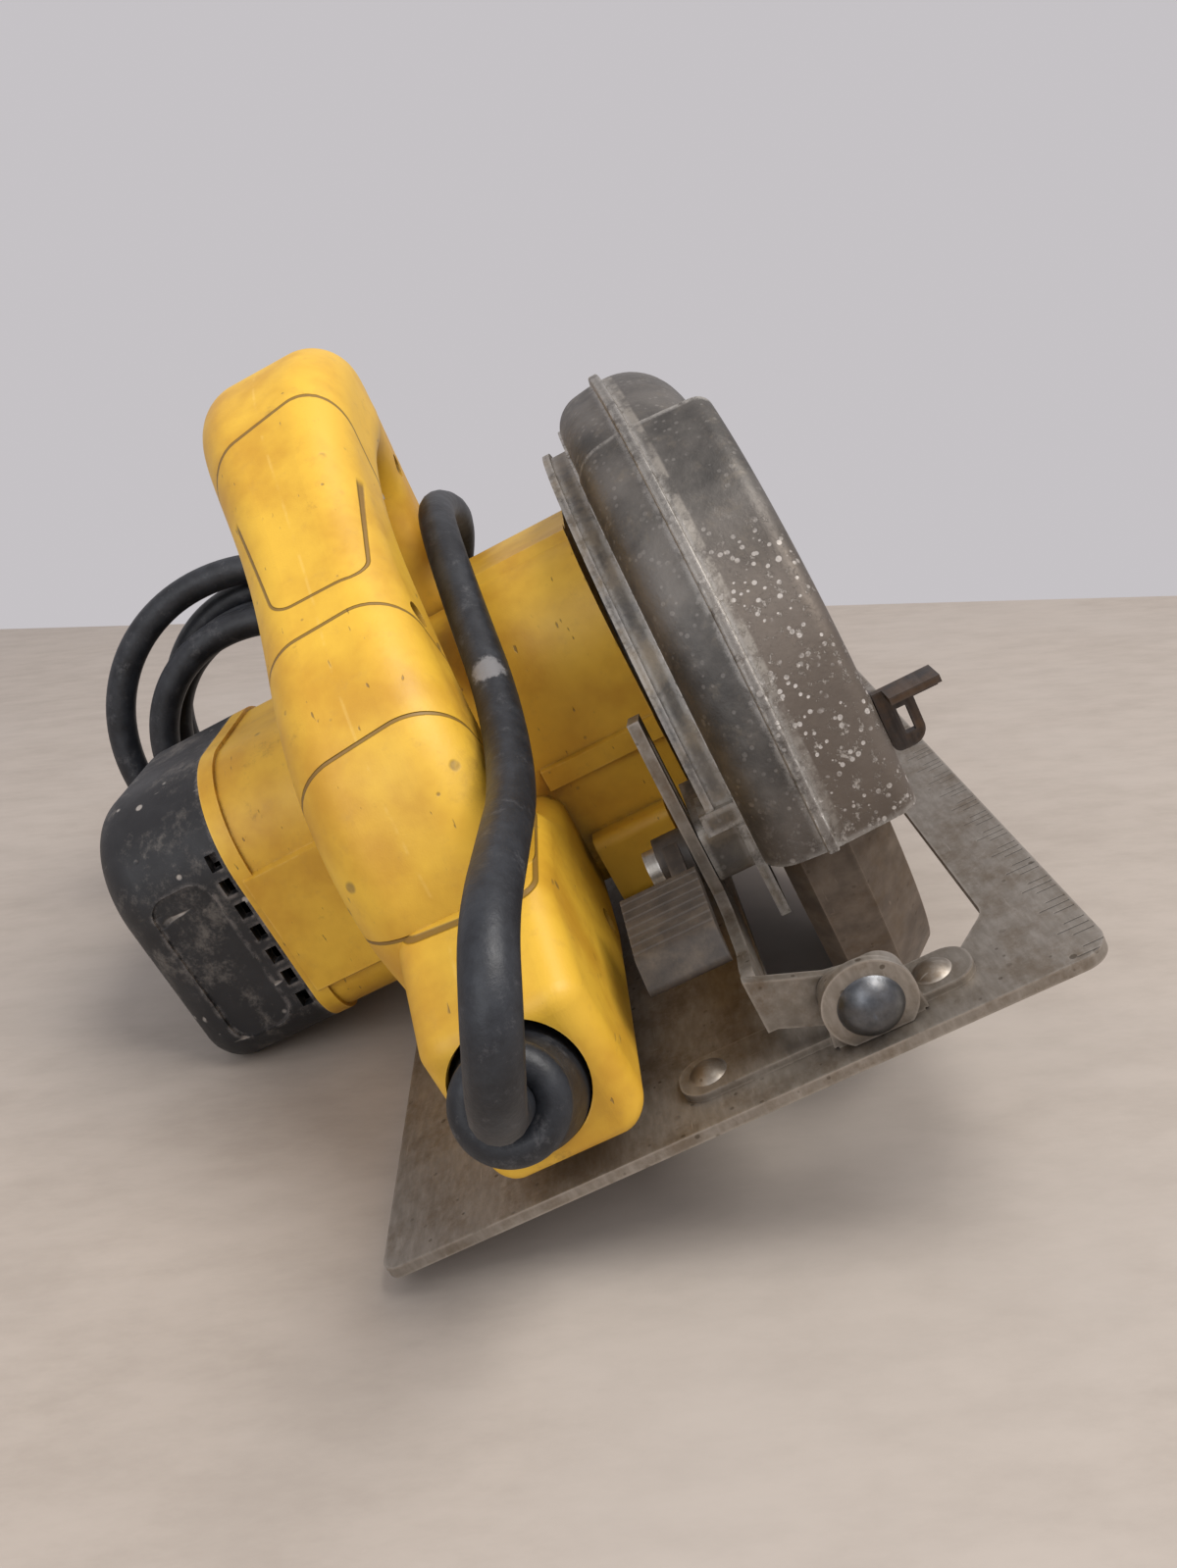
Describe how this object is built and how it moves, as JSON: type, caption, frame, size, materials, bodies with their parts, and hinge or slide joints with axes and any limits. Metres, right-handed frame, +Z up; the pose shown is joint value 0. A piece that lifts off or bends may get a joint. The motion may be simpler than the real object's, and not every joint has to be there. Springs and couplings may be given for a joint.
{
  "type": "circular saw",
  "caption": "Hand-held electric circular saw lying on its motor end cap and lower guard, with bow handle, tilting shoe and coiled cord.",
  "frame": {"origin": "on the table, under the middle of the saw's box at rest, without its cord", "axes": "+X is the saw's cutting direction, +Y is towards the motor side and lies level, +Z is up from the table; the saw itself leans 22.9 degrees about X"},
  "size_m": [0.3806, 0.2778, 0.1982],
  "materials": {
    "yellow_plastic": "worn glass-filled nylon, satin",
    "black_plastic": "scuffed matt black",
    "grey_casting": "dark grey painted die casting, worn to bare metal at the edges",
    "brown_guard": "stained, dusty brown-grey",
    "lever_plastic": "dusty dark brown-grey",
    "shoe_steel": "worn, stained rolled steel",
    "blade_steel": "ground steel",
    "black_steel": "blackened steel with worn edges",
    "bright_steel": "zinc-plated steel",
    "core_steel": "stacked laminations",
    "copper": "enamelled copper wire",
    "carbon": "pressed carbon",
    "bronze": "sintered bronze",
    "plug_metal": "plated brass",
    "black_rubber": "matt black rubber"
  },
  "bodies": {
    "saw_body": {"brush_holders": "black_plastic", "carbon_brushes": "carbon", "cord_boot": "black_rubber", "cord_clamp": "black_plastic", "cord_coil": "black_rubber", "depth_clamp_bolt": "bright_steel", "fan_baffle": "black_plastic", "field_coils": "copper", "field_stack": "core_steel", "front_armature_bearing": "bright_steel", "gear_case": "grey_casting", "guard_bumper": "black_rubber", "guard_retaining_ring": "bright_steel", "guard_return_spring": "bright_steel", "guard_screws": "black_steel", "handle_screws": "black_steel", "handle_shell_left": "yellow_plastic", "handle_shell_right": "yellow_plastic", "housing_screws": "black_steel", "motor_end_cap": "black_plastic", "motor_housing": "yellow_plastic", "plug_pins": "plug_metal", "power_cord": "black_rubber", "power_plug": "black_rubber", "rear_armature_bearing": "bright_steel", "spindle_bearing": "bright_steel", "spindle_lock_spring": "bright_steel", "spindle_sleeve": "bronze", "trigger_pin": "bright_steel", "trigger_spring": "bright_steel", "trigger_switch": "black_plastic", "upper_guard": "grey_casting"},
    "tilt_frame": {"front_yoke": "shoe_steel", "depth_pivot_pin": "bright_steel", "depth_quadrant": "shoe_steel", "bevel_clamp_bolt": "bright_steel"},
    "shoe": {"shoe_plate": "shoe_steel", "rear_pivot_bracket": "shoe_steel", "bracket_rivets": "bright_steel", "bevel_quadrant": "shoe_steel", "bevel_pivot_rivets": "bright_steel"},
    "fence_screw": {"rip_fence_screw": "bright_steel"},
    "bevel_lever": {"bevel_clamp_lever": "lever_plastic"},
    "depth_lever": {"depth_clamp_lever": "lever_plastic"},
    "lower_guard": {"lower_guard": "brown_guard", "guard_lift_lever": "black_steel", "guard_lever_rivets": "bright_steel"},
    "spindle": {"arbor_spindle": "bright_steel", "spindle_gear": "bright_steel", "inner_flange": "blade_steel", "saw_blade": "blade_steel", "outer_flange": "blade_steel", "blade_bolt": "black_steel"},
    "armature": {"armature_shaft": "bright_steel", "armature_core": "core_steel", "armature_windings": "copper", "commutator": "copper", "cooling_fan": "black_plastic"},
    "trigger": {"trigger": "black_plastic"},
    "spindle_lock": {"spindle_lock_button": "black_plastic"}
  },
  "joints": [
    {"name": "depth_adjust", "type": "hinge", "parent": "saw_body", "child": "tilt_frame", "pos_m": [0.116, -0.06957, 0.07772], "axis": [0, -0.9214, 0.3886], "range_deg": [0, 8]},
    {"name": "bevel_tilt", "type": "hinge", "parent": "tilt_frame", "child": "shoe", "pos_m": [-0.01, -0.07387, 0.06238], "axis": [-1, 0, 0], "range_deg": [0, 45]},
    {"name": "lower_guard_swing", "type": "hinge", "parent": "saw_body", "child": "lower_guard", "pos_m": [-0.01, -0.07044, 0.0911], "axis": [0, 0.9214, -0.3886], "range_deg": [0, 135], "stiffness_Nm_per_rad": 0.12, "springref_deg": -34.38},
    {"name": "blade_spin", "type": "hinge", "parent": "saw_body", "child": "spindle", "pos_m": [-0.01, -0.07044, 0.0911], "axis": [0, 0.9214, -0.3886], "continuous": true},
    {"name": "armature_spin", "type": "hinge", "parent": "saw_body", "child": "armature", "pos_m": [0.004, 0.03004, 0.07202], "axis": [0, 0.9214, -0.3886], "continuous": true},
    {"name": "trigger_pull", "type": "hinge", "parent": "saw_body", "child": "trigger", "pos_m": [-0.00981, 0.04547, 0.15236], "axis": [0, 0.9214, -0.3886], "range_deg": [0, 7], "stiffness_Nm_per_rad": 0.6, "springref_deg": -22.92},
    {"name": "spindle_lock_press", "type": "slide", "parent": "saw_body", "child": "spindle_lock", "axis": [-1, 0, 0], "range_m": [0, 0.0034], "stiffness_N_per_m": 400, "springref_m": -0.004},
    {"name": "depth_lever_turn", "type": "hinge", "parent": "saw_body", "child": "depth_lever", "pos_m": [-0.087, -0.03975, 0.07382], "axis": [0, 0.9214, -0.3886], "range_deg": [0, 45]},
    {"name": "bevel_lever_turn", "type": "hinge", "parent": "tilt_frame", "child": "bevel_lever", "pos_m": [0.134, -0.04649, 0.07465], "axis": [1, 0, 0], "range_deg": [0, 60]},
    {"name": "fence_screw_turn", "type": "hinge", "parent": "shoe", "child": "fence_screw", "pos_m": [0.139, -0.00499, 0.03528], "axis": [0, 0.3886, 0.9214], "continuous": true}
  ],
  "couplings": [
    {"joint": "armature_spin", "follows": "blade_spin", "ratio": -4.8571}
  ]
}
